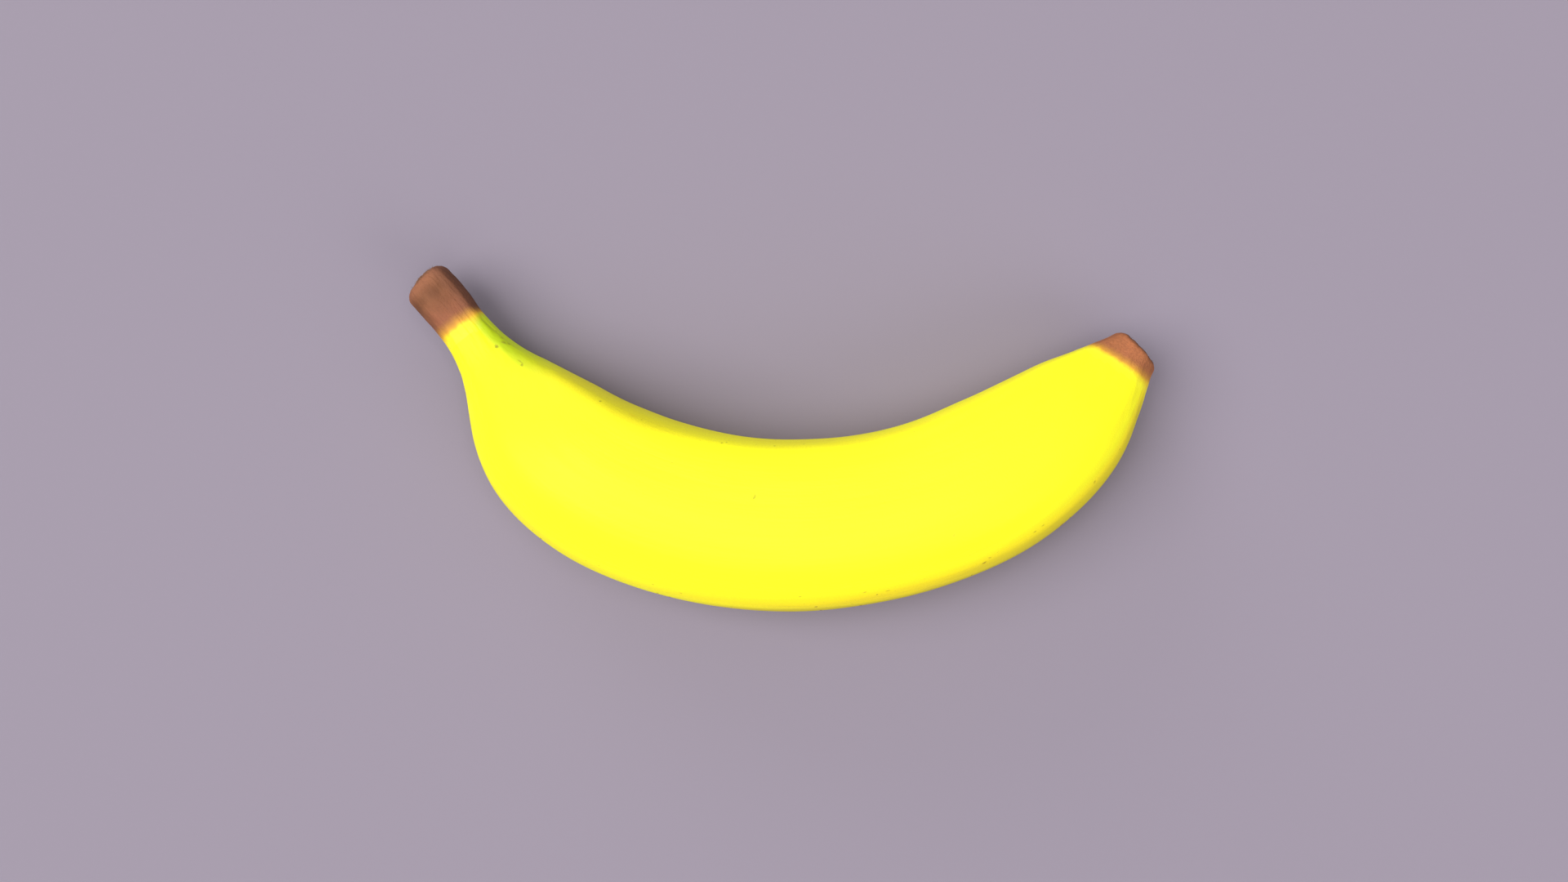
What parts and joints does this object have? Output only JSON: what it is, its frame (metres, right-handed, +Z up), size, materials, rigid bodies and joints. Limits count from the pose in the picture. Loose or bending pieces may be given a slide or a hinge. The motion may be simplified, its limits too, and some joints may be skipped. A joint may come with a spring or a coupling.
{
  "type": "banana",
  "caption": "Ripe banana lying on its side: softly ridged, curved yellow peel with a short cut stem and a blunt blossom end.",
  "frame": {"origin": "on the surface that the fruit lies on, under the middle of its bounding box", "axes": "+Z up; X runs along the fruit with the cut stem at -X and the blossom end at +X; the curve lies flat and its outer side faces -Y"},
  "size_m": [0.1686, 0.0776, 0.0351],
  "materials": {
    "peel": "waxy satin peel, bright ripe yellow, with a dried brown stem and blossom end"
  },
  "bodies": {
    "root": {"banana": "peel"}
  },
  "joints": []
}
